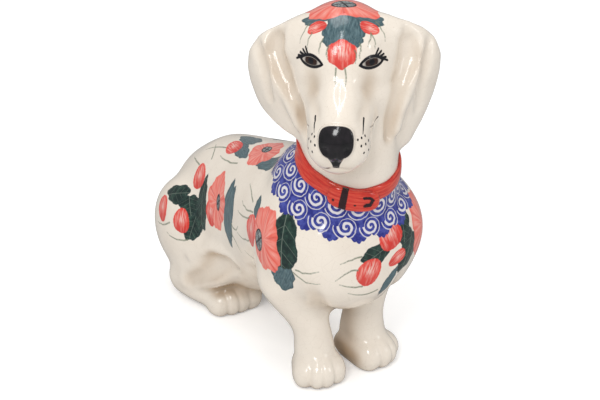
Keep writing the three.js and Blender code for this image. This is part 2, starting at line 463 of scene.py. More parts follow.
def face_owners(points, quads):
    """The casting that each face is nearest to, with no stray islands."""
    centres = points[quads].mean(1)
    near = np.stack([sample(fields[name], centres) for name in CASTINGS], 1)
    above = in_collar(centres)[:, 2] > 0
    near[above, CASTINGS.index("body_casting")] = BAND
    near[~above, CASTINGS.index("head_casting")] = BAND
    owner = near.argmin(1)
    first, second, _ = neighbour_faces(quads)
    joined = owner[first] == owner[second]
    a, b = first[joined], second[joined]
    group = np.arange(len(quads))
    while True:
        lowest = np.minimum(group[a], group[b])
        grown = group.copy()
        np.minimum.at(grown, a, lowest)
        np.minimum.at(grown, b, lowest)
        grown = grown[grown]
        if (grown == group).all():
            break
        group = grown
    size = np.bincount(group, minlength=len(quads))
    for index in range(len(CASTINGS)):
        own = owner == index
        largest = size[group[own]].max()
        owner[own & (size[group] < largest)] = -1
    return grown_owners(owner, first, second)


points, quads = surface_of(field)
points = settled(points)
owner = face_owners(points, quads)
first, second, shared = neighbour_faces(quads)
seam = shared[owner[first] != owner[second]]
points = evened(points, edges_of(quads), seam, 8)
points, quads = subdivided(points, quads)
owner = np.repeat(owner, 4)
first, second, shared = neighbour_faces(quads)
seam = shared[owner[first] != owner[second]]
points = evened(settled(points), edges_of(quads), seam, 2)


# ---- Modelling the surface ----

def bump(at, centre, radii):
    """1 at `centre`, falling off smoothly over `radii`."""
    away = (at - np.array(centre)) / np.array(radii)
    return np.exp(-(away * away).sum(1))


# Hollows and swellings of the face, in the head's frame on the dog's left, mirrored to the right:
# centre, reach along X, Y and Z, and height.
FACE_FORMS = [
    ((17.5, -14.5, 19.5), (9.0, 8.0, 3.6), 1.1),  # brow
    ((16.0, -19.5, 12.0), (10.0, 9.0, 6.5), -1.5),  # eye socket
    ((15.7, -19.3, 12.4), (6.5, 6.0, 3.6), 1.0),  # eyeball
    ((15.0, -25.0, 0.0), (6.5, 8.0, 8.0), -2.4),  # hollow under the eye
    ((22.5, -15.0, -6.0), (4.0, 9.0, 12.0), 1.8),  # cheekbone
    ((18.0, -22.0, -22.0), (5.0, 9.0, 6.0), -0.9),  # behind the lips
    ((12.5, -40.0, -4.0), (4.0, 10.0, 4.5), -1.5),  # side of the bridge
    ((12.0, -47.0, -21.0), (6.0, 9.0, 6.5), 1.6),  # upper lip
    ((0.0, -24.0, 15.0), (4.5, 6.0, 7.0), -0.6),  # between the brows
    ((5.0, -34.0, 3.0), (3.4, 14.0, 5.0), 0.8),  # edge of the bridge
]

NOSE_X = -0.8
NOSE_TOP = np.array([-51.4, -2.8])  # Y and Z in the head's frame
NOSE_FOOT = np.array([-58.9, -17.6])
NOSE_HALF_WIDTH = 8.7
NOSE_PROUD = 2.2
PHILTRUM_FOOT = 14.6  # below the nose's middle
MOUTH = [
    (-7, -54, -27.6), (-3.5, -56.6, -26.4), (-0.8, -57.4, -25.6), (2, -57, -26.3), (5.6, -55.6, -27.6),
]


def nose_place(at):
    """Across and down from the middle of the nose pad."""
    down = NOSE_FOOT - NOSE_TOP
    length = np.linalg.norm(down)
    along = (at[:, 1:] - (NOSE_TOP + NOSE_FOOT) / 2) @ (down / length)
    return at[:, 0] - NOSE_X, along, length / 2


def nose_distance(at):
    """Signed distance to the outline of the nose pad and the black stripe under it."""
    across, down, half = nose_place(at)
    half_width = NOSE_HALF_WIDTH - 0.05 * np.clip(down, 0, half + 2) ** 1.3
    pad = ((np.abs(across) / half_width) ** 3 + (np.abs(down) / half) ** 3) ** (1 / 3) - 1
    stripe_width = 1.6 + 2.6 * smoothstep(PHILTRUM_FOOT, half * 0.8, down) ** 1.2
    stripe = np.maximum(np.abs(across) - stripe_width, np.maximum(down - PHILTRUM_FOOT, -down))
    distance = np.minimum(pad * half, stripe)
    return np.where(at[:, 1] < -40, distance, BAND)


def line_distance(at, line):
    """Distance from points to a line of straight pieces."""
    nearest = np.full(len(at), BAND * 4)
    line = np.array(line, float)
    for start, end in zip(line[:-1], line[1:]):
        step = end - start
        share = np.clip((at - start) @ step / max(step @ step, 1e-6), 0, 1)
        nearest = np.minimum(nearest, np.linalg.norm(at - start - share[:, None] * step, axis=1))
    return nearest


def face_relief(at):
    """The face's forms, then the nose pad with its nostrils and groove, and the mouth line."""
    left = at.copy()
    left[:, 0] = np.abs(left[:, 0])
    height = sum(rise * bump(left, centre, radii) for centre, radii, rise in FACE_FORMS)
    across, down, half = nose_place(at)
    pad = nose_distance(at)
    on_pad = smoothstep(0.9, -1.3, pad) * smoothstep(half + 3.0, half - 1.5, down)
    height += NOSE_PROUD * on_pad
    near_nose = at[:, 1] < -40
    for side in (-1, 1):
        nostril = np.exp(-(((across - side * 5.2) / 2.0) ** 2) - ((down - 3.6) / 1.7) ** 2)
        height -= near_nose * 1.7 * nostril
    groove = np.exp(-((across / 0.9) ** 2)) * smoothstep(1.0, 5.0, down)
    groove *= smoothstep(PHILTRUM_FOOT, 10.0, down)
    height -= near_nose * 0.9 * groove
    height -= 0.8 * np.exp(-((line_distance(at, MOUTH) / 0.9) ** 2))
    return height


# Middle of each paw, and its turn, on the left side.
PAWS = (((16.5, -12.5), 20.0), ((22.0, 82.0), -6.0))
TOE_GROOVES = (-6.6, 0.0, 6.6)
TOE_GROOVE_DEPTH = 0.7
TOE_GROOVE_WIDTH = 1.3


def paw_relief(points):
    """Grooves between the toes, which spread towards their tips."""
    height = np.zeros(len(points))
    for (x, y), turn in PAWS:
        a = math.radians(turn)
        place = np.abs(points[:, 0]) - x
        ahead = points[:, 1] - y
        across = place * math.cos(a) + ahead * math.sin(a)
        forward = place * math.sin(a) - ahead * math.cos(a)
        toes = smoothstep(5, 11, forward) * smoothstep(26, 20, forward) * smoothstep(19, 13, points[:, 2])
        spread = 0.6 + 0.028 * forward
        for groove in TOE_GROOVES:
            away = (across - groove * spread) / TOE_GROOVE_WIDTH
            height -= TOE_GROOVE_DEPTH * toes * np.exp(-(away**2))
    return height


# Swellings of the body in the dog's frame: centre, reach along X, Y and Z, and height.
BODY_FORMS = [
    ((40.0, -20.0, 90.0), (12.0, 18.0, 20.0), 3.8),  # the left shoulder, fuller than the right
]


def relief(points):
    """How far each point moves out, in mm."""
    at = in_head(points)
    height = face_relief(at) * smoothstep(3.0, 0.5, sample(fields["head_casting"], points))
    height += paw_relief(points)
    height += sum(rise * bump(points, centre, radii) for centre, radii, rise in BODY_FORMS)
    return height


normals = unit(slope(field, points))
points = points + normals * relief(points)[:, None]
points[:, 2] = np.maximum(points[:, 2], 0)
normals = vertex_normals(points, quads)


# ---- Painting ----

FAR = 9.0  # stands for "nowhere near", in mm

# Each motif is painted on the skin at a place: shape, place, direction along it, half length, half width.
# The side's are also painted, a little changed, on the dog's other side, apart from the shoulder's.
SIDE_MOTIFS = [
    ("leaf", (-41, -17, 91.5), (0, 0, 1), 17, 9.5),
    ("slate", (-39.5, -17, 72.5), (0, -0.35, 1), 9, 7),
    ("poppy", (-43.5, -3, 89.5), (0, 0.4, 1), 18, 12),
    ("heart", (-44, 2, 87), (0, 0.3, 1), 6.2, 4.4),
    ("slate", (-40, 13, 101), (0, 0.5, 1), 6.5, 3.4),
    ("bud", (-42, 14, 87), (0, 0.2, 1), 9, 7),
    ("slate", (-34, 49, 80), (0, 0.15, 1), 18.5, 6.6),
    ("leaf", (-33.5, 82, 70), (0, 0.2, 1), 16.5, 5.4),
    ("poppy", (-32.6, 66, 80), (0, 0.45, 1), 16, 10.5),
    ("bud", (-34.3, 71, 71), (0, 0.3, 1), 8, 5.4),
    ("heart", (-33.5, 64, 80), (0, 0.4, 1), 5, 2.4),
    ("bud", (-28.5, 94, 83), (0, 0.6, 1), 8, 6.4),
    ("leaf", (-37, 105, 69.5), (0, 1, -0.6), 9.5, 6),
    ("leaf", (-36.5, 92, 67), (0, 0.4, 1), 6.5, 8),
    ("leaf", (-39, 86, 54.5), (0, -0.3, 1), 8.5, 5.6),
    ("bud", (-41, 94.5, 56.5), (0, 0.1, 1), 7.5, 6.4),
    ("bud", (-43, 114, 57.5), (0, 0.3, 1), 8, 5.4),
]
SHOULDER_MOTIFS = 4  # the first of SIDE_MOTIFS, which are on the right shoulder only
BACK_MOTIFS = [
    ("slate", (-3, 78, 106), (0.1, 1, 0), 13, 5),
    ("slate", (-13, 69, 105.6), (0.3, 1, 0.1), 11, 4.6),
    ("slate", (-18.5, 29, 115), (0.15, -1, 0.6), 13.5, 5.4),
    ("poppy", (-11, 48, 112), (0.2, 1, 0), 14, 11),
    ("bud", (-11.5, 81, 103), (0.2, 1, 0), 8.5, 5.4),
    ("heart", (-9, 49, 112.5), (0.2, 1, 0), 5, 3),
    ("leaf", (12, 58, 109), (0.5, -1, 0), 12, 5.5),
    ("bud", (16, 42, 108), (0.6, -1, 0), 7.5, 6),
    ("leaf", (2, 119, 84), (1, 0.1, 0), 10, 5.5),
    ("poppy", (-2, 131, 66), (0.3, 0.2, 1), 12, 10),
    ("heart", (-2, 131.5, 66), (0.3, 0.2, 1), 4, 3.2),
    ("slate", (13, 134, 56), (0.5, 0, 1), 11, 4.6),
]
CHEST_MOTIFS = [
    ("leaf", (19.5, -41, 96), (0.1, 0.1, 1), 10, 7),
    ("leaf", (22.5, -41, 81), (0.5, 0, 1), 12, 7.2),
    ("leaf", (0.5, -45, 86.5), (1, 0, 0.35), 10.5, 5.8),
    ("slate", (10, -43, 65.5), (0.55, 0, 1), 9.5, 3),
    ("poppy", (37, -31, 89), (0, 0.2, 1), 18, 12),
    ("heart", (42, -20, 88), (0, 0.2, 1), 6, 3.6),
    ("bud", (10, -44, 94.5), (-0.3, 0, 1), 9, 8),
    ("bud", (-4.5, -45, 76.5), (0.3, 0, 1), 8.4, 7.6),
    ("bud", (14.5, -44, 79.5), (1, 0, 0.4), 6.5, 4),
]
# Forehead, in the head's own frame.
HEAD_MOTIFS = [
    ("slate", (0.5, -9.5, 25.5), (0, 1, 0.5), 9.5, 10),
    ("slate", (-12.5, 0, 24), (-1, 0.2, -0.4), 8.5, 4.4),
    ("slate", (12.8, 0, 24), (1, 0.2, -0.4), 8.5, 4.4),
    ("slate", (-5.5, -15.5, 22), (0.2, -1, -0.7), 4.6, 3.8),
    ("slate", (6.5, -15, 22), (-0.2, -1, -0.7), 4.6, 3.8),
    ("poppy", (-1, 11, 27), (1, 0, 0), 19, 13.5),
    ("bud", (-13, -6.5, 23), (-1, 0.1, -0.5), 5.4, 4),
    ("bud", (13.2, -6, 23), (1, 0.1, -0.5), 5.4, 4),
    ("tulip", (0.4, -21.2, 17.8), (0, 1, 1.3), 7.4, 7.6),
    ("heart", (-0.5, 10, 27.5), (1, 0, 0), 6.5, 4.6),
]
PETALS = ("poppy", "bud", "tulip")
LEAVES = ("leaf", "slate")

# Stems and tendrils, each a brush line through a few places on the skin.
SIDE_STEMS = [
    [(-41, 17, 97), (-39.5, 26, 94), (-37, 34, 95)],
    [(-41, 19, 92), (-38.5, 28, 88), (-36.5, 36, 88)],
    [(-42.5, 17, 79), (-40, 26, 75), (-37.8, 35, 74.5)],
    [(-43, 12, 70), (-40, 21, 65), (-37, 29, 66)],
    [(-39, 21, 101), (-37, 28, 104), (-34.5, 35, 107)],
    [(-38.6, -25.5, 80), (-35, -31, 79.5), (-30.5, -36, 81.5)],
    [(-39, -24, 78), (-35, -31, 73.5), (-30, -36, 73)],
    [(-35, 44, 70), (-36, 39, 66), (-37, 36, 60)],
    [(-35, 43, 76), (-36, 38, 75), (-37.5, 34, 79)],
    [(-22, 92, 94), (-17, 96, 96), (-12, 101, 96)],
    [(-25, 101, 87), (-22, 108, 86), (-19, 114, 84)],
    [(-41, 88, 47), (-42, 97, 44), (-43, 106, 45)],
    [(-42.5, 104, 52), (-43.5, 111, 48), (-43, 118, 47)],
    [(-14, 88, 101), (-15, 98, 98), (-17, 107, 93)],
    [(-22, 62, 103), (-22, 74, 100), (-20, 86, 99)],
]
REPEATED_STEMS = SIDE_STEMS[:5] + SIDE_STEMS[7:]  # all but those in front of the right shoulder
CHEST_STEMS = [
    [(-9, -44.5, 87.5), (-15, -43.8, 87), (-21, -42, 85.5)],
    [(-11, -44.3, 79.5), (-17, -43.2, 80), (-23, -40.5, 75.5)],
    [(-7.5, -43.5, 68.5), (-14, -43, 70), (-21, -41, 73)],
    [(3, -43, 63), (-6, -42.3, 62.5), (-15, -41, 66)],
]
HEAD_STEMS = [
    [(-2.2, -25.4, 12.5), (-2.5, -28, 8.5), (-2.6, -31.5, 5.4)],
    [(2.2, -25.4, 12.5), (2.7, -28, 8.5), (2.4, -31.8, 5.4)],
    [(-16.5, -1.5, 21), (-18.5, -4.5, 18.5), (-20.5, -8, 14.5)],
    [(-14.5, -8.5, 21), (-15.8, -11, 18.5), (-16.5, -13.5, 15.5)],
    [(-9, -14, 21.5), (-10.5, -17, 19), (-11, -19, 16.5)],
    [(-6.5, -18.5, 20.5), (-7.8, -21, 18.5), (-7, -23, 16)],
    [(16, 0, 21.5), (18.5, -3, 19), (19.8, -6.5, 15.5)],
    [(13.5, -8.5, 21), (13, -12, 19.5), (12, -15, 18)],
    [(14, -8.5, 21), (15.5, -11.5, 19), (16, -14, 17)],
    [(9, -16, 21), (9.6, -19, 18.5), (9.2, -21.5, 16)],
    [(7.2, -20, 19.5), (7.8, -22.5, 17), (7.2, -24, 14.5)],
]
STEM_HALF_WIDTH = 0.5

# The face, in the head's own frame. The eyes are given on the dog's left.
EYE_AT = (15.7, -19.6, 11.3)
EYE_OUTWARDS = (0.72, 0.67, -0.2)
EYE_HALF_LENGTH = 8.0
EYE_HALF_HEIGHT = 3.7
EYE_OUTLINE = 1.35
IRIS_RADIUS = 3.9
LASHES = 5
LASH_LENGTH = 3.2
LASH_HALF_WIDTH = 0.6
FIRST_LASH = np.array([3.0, 3.9, 0])  # out and up from the eye's middle
NEXT_LASH = np.array([1.15, -0.85, 0])
LASH_LEAN = (48, -18)  # degrees of the first, and from one to the next

# Whisker strokes, and rows of dots beside the nose, on each cheek.
WHISKERS = [
    [(13, -40, -6), (12.5, -44, -8), (12, -49, -10)],
    [(19, -26, -17), (17, -32, -16.5), (15, -40, -13)],
]
WHISKER_HALF_WIDTH = 0.55
DOT_RADIUS = 0.75
WHISKER_ROWS = 3
WHISKER_DOTS = 3  # in each row
FIRST_DOT = np.array([9.8, -54.0, -10.0])
ALONG_ROW = np.array([1.6, 3.0, -0.8])
NEXT_ROW = np.array([0.2, -0.4, -3.8])


class Skin:
    """Points of the dog in a frame of their own, with the tools that painting on them needs."""

    def __init__(self, at, facing):
        self.at = at
        self.facing = facing
        self.layers = {
            "bloom": np.full((len(at), 3), FAR),
            "leaf": np.full((len(at), 3), FAR),
            "heart": np.full((len(at), 3), FAR),
            "bloom_kind": np.zeros(len(at)),
            "leaf_kind": np.zeros(len(at)),
            "stem": np.full(len(at), FAR),
        }

    def nearest(self, place):
        away = self.at - np.array(place)
        return int((away * away).sum(1).argmin())

    def patch(self, place, along, reach):
        """Points within `reach` of a place, and their coordinates along and across the skin there."""
        index = self.nearest(place)
        middle, out = self.at[index], self.facing[index]
        along = np.array(along, float)
        along = unit((along - out * (along @ out))[None])[0]
        across = np.cross(out, along)
        away = self.at - middle
        near = np.flatnonzero(((away * away).sum(1) < reach * reach) & (self.facing @ out > 0.1))
        return near, away[near] @ along, away[near] @ across

    def paint(self, motif, number):
        """One flower, bud or leaf. `number` varies its outline."""
        shape, place, along, length, width = motif
        near, u, v = self.patch(place, along, 1.5 * max(length, width))
        u, v = u / length, v / width
        angle = np.arctan2(v, u)
        phase = 1.7 * number
        edge = 1 + 0.012 * np.cos(23 * angle + phase)
        if shape == "poppy":
            edge = edge + 0.07 * np.cos(4 * angle + phase) + 0.04 * np.cos(9 * angle + 2 * phase)
        elif shape in LEAVES:
            edge = edge + 0.1 * np.cos(3 * angle + phase) + 0.06 * np.cos(7 * angle + phase)
        elif shape == "bud":
            edge = edge + 0.05 * np.cos(3 * angle + phase)
        elif shape == "tulip":
            edge = edge - 0.18 * np.clip(-np.cos(angle), 0, 1) * np.abs(np.sin(angle)) ** 0.7
            edge = edge + 0.06 * np.cos(6 * angle)
        distance = (np.hypot(u, v) - edge) * min(length, width)
        layer = "bloom" if shape in PETALS else "leaf" if shape in LEAVES else "heart"
        values = self.layers[layer]
        closer = distance < values[near, 2]
        values[near[closer]] = np.stack([u, v, distance], 1)[closer]
        if layer == "bloom":
            self.layers["bloom_kind"][near[closer]] = 0.0 if shape == "poppy" else 1.0
        if layer == "leaf":
            self.layers["leaf_kind"][near[closer]] = 1.0 if shape == "slate" else 0.0

    def brush(self, line, half_width, layer="stem"):
        """A thin brush line that tapers to its far end."""
        places = [self.at[self.nearest(place)] for place in curve_through(line)]
        reach = 4.0
        low, high = np.min(places, 0) - reach, np.max(places, 0) + reach
        near = np.flatnonzero(((self.at > low) & (self.at < high)).all(1))
        distance = line_distance(self.at[near], places)
        start, end = places[0], places[-1]
        span = end - start
        along = np.clip((self.at[near] - start) @ span / max(span @ span, 1e-6), 0, 1)
        distance = distance - half_width * (1 - 0.55 * along * along)
        self.layers[layer][near] = np.minimum(self.layers[layer][near], distance)

    def dot(self, place, radius, layer):
        """A round touch of the brush's tip."""
        distance = np.linalg.norm(self.at - self.at[self.nearest(place)], axis=1) - radius
        self.layers[layer] = np.minimum(self.layers[layer], distance)


def curve_through(line, steps=6):
    """Points on the parabola through three places."""
    a, b, c = (np.array(place, float) for place in line)
    bend = 2 * b - (a + c) / 2
    return [(1 - t) ** 2 * a + 2 * t * (1 - t) * bend + t * t * c for t in np.linspace(0, 1, steps + 1)]


def other_side(place):
    x, y, z = place
    return -x, y + 3.0, z - 1.5


def mirrored(motifs):
    """The same painting for the dog's other side, which a painter's hand makes a little different."""
    return [
        (shape, other_side(at), (-along[0], along[1] + 0.12, along[2]), length * 0.96, width)
        for shape, at, along, length, width in motifs
    ]


def mirrored_lines(lines):
    return [[other_side(place) for place in line] for line in lines]


def paint_body(skin):
    left_side = mirrored(SIDE_MOTIFS[SHOULDER_MOTIFS:])  # the chest's own flowers cover its shoulder
    motifs = SIDE_MOTIFS + left_side + BACK_MOTIFS + CHEST_MOTIFS
    for number, motif in enumerate(motifs):
        skin.paint(motif, number)
    for line in SIDE_STEMS + mirrored_lines(REPEATED_STEMS) + CHEST_STEMS:
        skin.brush(line, STEM_HALF_WIDTH)


def paint_eyes(skin):
    """Outline and lashes go to the ink layer. The eye layer holds the iris's place and the lids' opening."""
    for side in (-1, 1):
        place = np.array(EYE_AT) * [side, 1, 1]
        outwards = np.array(EYE_OUTWARDS) * [side, 1, 1]
        near, u, v = skin.patch(place, outwards, 20.0)
        v = v * side  # upwards
        bow = 1 - (u / EYE_HALF_LENGTH) ** 2
        lid = np.abs(v - 0.5 * bow) - EYE_HALF_HEIGHT * np.clip(bow, 0, 1) ** 0.85
        whole = np.maximum(lid * 0.8, np.abs(u) - EYE_HALF_LENGTH)
        ink = skin.layers["ink"]
        ink[near] = np.minimum(ink[near], np.maximum(whole, -whole - EYE_OUTLINE))
        skin.layers["eye"][near] = np.stack([u, v, whole + EYE_OUTLINE], 1)
        place_2d = np.stack([u, v, np.zeros(len(u))], 1)
        for k in range(LASHES):
            root = FIRST_LASH + k * NEXT_LASH
            lean = math.radians(LASH_LEAN[0] + k * LASH_LEAN[1])
            tip = root + LASH_LENGTH * np.array([math.cos(lean), math.sin(lean), 0])
            lash = line_distance(place_2d, [root, tip]) - LASH_HALF_WIDTH
            ink[near] = np.minimum(ink[near], lash)


def paint_head(skin):
    skin.layers["ink"] = np.full(len(skin.at), FAR)
    skin.layers["eye"] = np.full((len(skin.at), 3), FAR)
    skin.layers["nose"] = nose_distance(skin.at)
    for number, motif in enumerate(HEAD_MOTIFS):
        skin.paint(motif, number)
    for line in HEAD_STEMS:
        skin.brush(line, STEM_HALF_WIDTH * 0.8)
    paint_eyes(skin)
    for side in (-1, 1):
        for line in WHISKERS:
            skin.brush([(side * x, y, z) for x, y, z in line], WHISKER_HALF_WIDTH, "ink")
        for row in range(WHISKER_ROWS):
            for step in range(WHISKER_DOTS):
                place = FIRST_DOT + (step + 0.4 * row) * ALONG_ROW + row * NEXT_ROW
                skin.dot(place * [side, 1, 1], DOT_RADIUS, "ink")
    skin.layers["mouth"] = line_distance(skin.at, MOUTH) - 0.55


def lace_place(points):
    """Where a point is in the lace band: the direction round the collar, and mm down from the collar."""
    x, y, z = in_collar(points).T
    radius = np.maximum(np.hypot(x, y), 1.0)
    down = 0.65 * (radius - 27) - 0.76 * z - 3.5
    return np.stack([x / radius, -y / radius, np.where(z < 0, down, -FAR)], 1)


# Rounds of smoothing of the tan that stands for pooled glaze and for painted shade in corners and
# underneath.
POOL_AND_SHADE_BLUR = 24  # rounds


def pooling_and_shade(points, normals):
    """0 in the open to 1 in deep corners and underneath. Partly glaze that pools and fires darker, partly
    painted shade: how enclosed each point is, and how far it faces down.
    """
    total = np.zeros((len(points), 1))
    # How enclosed each point is: painted shade in corners and hollows, where glaze also pools.
    for reach in (3.0, 6.0, 11.0):
        total[:, 0] += np.clip(1 - sample(field, points + normals * reach) / reach, 0, 1) / 3
    # Painted shade on the undersides, which face away from the light.
    total[:, 0] += 0.3 * smoothstep(-0.15, -0.9, normals[:, 2])
    edges = edges_of(quads)
    for _ in range(POOL_AND_SHADE_BLUR):
        total = neighbour_mean(total, edges)
    return total[:, 0]


skin = Skin(points, normals)
paint_body(skin)
face = Skin(in_head(points), normals @ HEAD_AXES)
paint_head(face)
pooled_and_shaded = pooling_and_shade(points, normals)
lace = lace_place(points)


# ---- Pieces ----

def boundary_loops(quads):
    """Closed rings of point numbers round the holes of an open sheet."""
    sides = np.stack([quads, np.roll(quads, -1, 1)], 2).reshape(-1, 2)
    codes = np.sort(sides, 1) @ [quads.max() + 1, 1]
    _, index, count = np.unique(codes, return_index=True, return_counts=True)
    following = {}
    for a, b in sides[index[count == 1]]:
        following.setdefault(b, []).append(a)
    loops = []
    while following:
        start = at = next(iter(following))
        loop = []
        while at in following:
            loop.append(at)
            ahead = following[at].pop()
            if not following[at]:
                del following[at]
            at = ahead
            if at == start:
                break
        loops.append(loop)
    return loops


def new_piece(name, points, faces, normals=None):
    """A mesh object from points in the dog's frame and faces of any size."""
    mesh = bpy.data.meshes.new(name)
    mesh.from_pydata(to_row(points).tolist(), [], faces)
    mesh.polygons.foreach_set("use_smooth", np.ones(len(faces), bool))
    if normals is not None:
        mesh.normals_split_custom_set_from_vertices(normals.tolist())
    piece = bpy.data.objects.new(name, mesh)
    bpy.context.scene.collection.objects.link(piece)
    return piece


def set_layer(piece, name, values):
    """Stores one number or one vector for each point."""
    kind, field_name = ("FLOAT", "value") if values.ndim == 1 else ("FLOAT_VECTOR", "vector")
    layer = piece.data.attributes.new(name, kind, "POINT")
    layer.data.foreach_set(field_name, values.astype(np.float32).ravel())


def casting_piece(index, layers):
    """The part of the dog that belongs to one casting, closed across its luted joints."""
    node = CASTINGS[index]
    own = quads[owner == index]
    used, own = np.unique(own, return_inverse=True)
    own = own.reshape(-1, 4)
    faces = own.tolist()
    middles = []
    for loop in boundary_loops(own):
        centre = len(used) + len(middles)
        middles.append(loop)
        faces += [[a, b, centre] for a, b in zip(loop, loop[1:] + loop[:1])]

    def whole(values):
        """Values of the skin's points, with a mean for the middle of each joint."""
        kept = values[used]
        return np.concatenate([kept, [kept[loop].mean(0) for loop in middles]]) if middles else kept

    piece = new_piece(f"{node}_glazed", whole(points), faces, whole(normals))
    for name, values in layers.items():
        set_layer(piece, name, whole(values))
    return piece


STRAP_STEPS = 360
STRAP_AROUND = 28  # places round the section
STRAP_LENGTH = 200  # of its painted pattern
STRAP_INSET = 0.1  # of each edge from the CAD strap's
STRAP_PROUD = 2.0
STRAP_DROP = 2.4  # the strap hangs a little below the joint of the neck
STRAP_SUNK = 0.5
TONGUE_STEPS = 90
TONGUE_AROUND = 44
TONGUE_OVERLAP = 0.6  # of each edge past the CAD tongue's
TONGUE_MIDDLE = -20.0  # degrees round the collar, from its front towards the dog's left
TONGUE_PROUD = 2.2
NECK_RADIUS = 29.0
KEEPER_AT = -5.0  # mm along the tongue from its middle
KEEPER_HALF_WIDTH = 1.7
HOOK = [(4.5, 2.6), (7.5, 2.4), (9.4, 0.4), (7.6, -2.0), (5.0, -2.2)]
DOTS = [(-9.6, -1.2), (0.6, -1.4), (13.2, 1.4)]


def on_collar(angle, height):
    """Points of the clay in a ring round the collar's axis, by degrees from the front and mm of height."""
    turn = np.radians(angle)
    way = np.stack([np.sin(turn), -np.cos(turn), np.zeros_like(turn)], -1)
    low, high = np.full(turn.shape, 14.0), np.full(turn.shape, 42.0)
    axis_point = COLLAR_AT + height[..., None] * COLLAR_AXES[:, 2]
    way = way @ COLLAR_AXES.T
    for _ in range(24):
        middle = (low + high) / 2
        at = axis_point + way * middle[..., None]
        inside = sample(field, at.reshape(-1, 3)).reshape(turn.shape) < 0
        low = np.where(inside, middle, low)
        high = np.where(inside, high, middle)
    at = axis_point + way * low[..., None]
    out = unit(slope(field, at.reshape(-1, 3), 3.0)).reshape(at.shape)
    return at, out


def ring_faces(rows, columns):
    """Quads of a grid that closes on itself both ways."""
    here = np.arange(rows * columns).reshape(rows, columns)
    right = np.roll(here, -1, 1)
    down = np.roll(here, -1, 0)
    across = np.roll(right, -1, 0)
    return np.stack([here, right, across, down], 2).reshape(-1, 4).tolist()


def rounded_band(count):
    """Heights across a band and rises off the clay, of `count` places round its section."""
    turn = (np.arange(count) + 0.5) / count * 2 * math.pi
    across = np.sign(np.cos(turn)) * np.sqrt(np.abs(np.cos(turn)))
    rise = np.sign(np.sin(turn)) * np.sqrt(np.abs(np.sin(turn)))
    return across, rise


def collar_strap():
    """The strap's own band, modelled round the neck with softened edges."""
    across, rise = rounded_band(STRAP_AROUND)
    angle = np.arange(STRAP_STEPS) * 360 / STRAP_STEPS
    angle, across = np.meshgrid(angle, across, indexing="ij")
    wave = 0.25 * np.sin(np.radians(angle) * 5) + 0.15 * np.sin(np.radians(angle) * 11 + 1)
    height = across * (COLLAR_WIDTH / 2 - STRAP_INSET) + wave - STRAP_DROP
    at, out = on_collar(angle, height)
    lift = np.where(rise > 0, STRAP_PROUD * rise * (1 - 0.12 * across**2), STRAP_SUNK * rise)
    at = at + out * lift[..., None]
    piece = new_piece("collar_strap_glazed", at.reshape(-1, 3), ring_faces(*angle.shape))
    set_layer(piece, "mark", np.full(angle.size, FAR))
    along = angle / 360 * STRAP_LENGTH
    set_layer(piece, "strap_place", np.stack([along, height, lift], -1).reshape(-1, 3))
    return piece


def collar_tongue():
    """The strap's free end over the buckle, with its painted keeper, holes and pin."""
    across, rise = rounded_band(TONGUE_AROUND)
    run = np.linspace(-1, 1, TONGUE_STEPS)
    run, across = np.meshgrid(run, across, indexing="ij")
    rise = np.broadcast_to(rise, run.shape)
    narrow = np.clip(1 - np.abs(run) ** 5, 0, 1) ** 0.42
    along = run * TONGUE_LENGTH / 2
    height = across * narrow * (TONGUE_WIDTH / 2 + TONGUE_OVERLAP) - TONGUE_DROP - 0.06 * along
    at, out = on_collar(TONGUE_MIDDLE + np.degrees(along / NECK_RADIUS), height)
    edge = np.clip(1 - np.abs(run) ** 8, 0, 1) ** 0.5
    top = STRAP_PROUD + TONGUE_PROUD * edge * (1 - 0.1 * across**2)
    middle = STRAP_PROUD * 0.5
    lift = middle + np.where(rise > 0, (top - middle) * rise, 0.3 * middle * rise)
    at = at + out * lift[..., None]
    rows, columns = run.shape
    faces = ring_faces(rows, columns)[: (rows - 1) * columns]
    faces += [list(range(columns))[::-1], list(range((rows - 1) * columns, rows * columns))]
    piece = new_piece("collar_tongue_glazed", at.reshape(-1, 3), faces)
    place = np.stack([along, height + TONGUE_DROP, np.zeros_like(along)], -1).reshape(-1, 3)
    mark = np.abs(place[:, 0] - KEEPER_AT) - KEEPER_HALF_WIDTH
    hook = line_distance(place, [(x, y, 0) for x, y in HOOK]) - 0.75
    mark = np.minimum(mark, hook)
    for x, y in DOTS:
        mark = np.minimum(mark, np.hypot(place[:, 0] - x, place[:, 1] - y) - 0.75)
    set_layer(piece, "mark", mark)
    set_layer(piece, "strap_place", np.stack([place[:, 0], place[:, 1], lift.ravel()], -1))
    return piece


# ---- Materials ----

IVORY = (0.81, 0.735, 0.64)
IVORY_WARM = (0.73, 0.645, 0.55)
# Tan of pooled glaze, also used as painted shade in corners and underneath.
POOL_AND_SHADE_TAN = (0.45, 0.32, 0.20)
CORAL = (0.78, 0.11, 0.075)
BUD_RED = (0.72, 0.050, 0.035)
CORAL_PALE = (0.86, 0.36, 0.30)
CORAL_DEEP = (0.55, 0.018, 0.014)
LEAF_DARK = (0.006, 0.020, 0.018)
LEAF_GREEN = (0.030, 0.072, 0.052)
SLATE = (0.040, 0.080, 0.095)
SLATE_PALE = (0.115, 0.185, 0.205)
COBALT = (0.020, 0.026, 0.21)
COBALT_PALE = (0.07, 0.09, 0.38)
STEM = (0.10, 0.13, 0.075)
INK = (0.003, 0.003, 0.006)
IRIS = (0.012, 0.005, 0.004)
STRAP_RED = (0.54, 0.028, 0.020)
STRAP_ORANGE = (0.66, 0.080, 0.045)
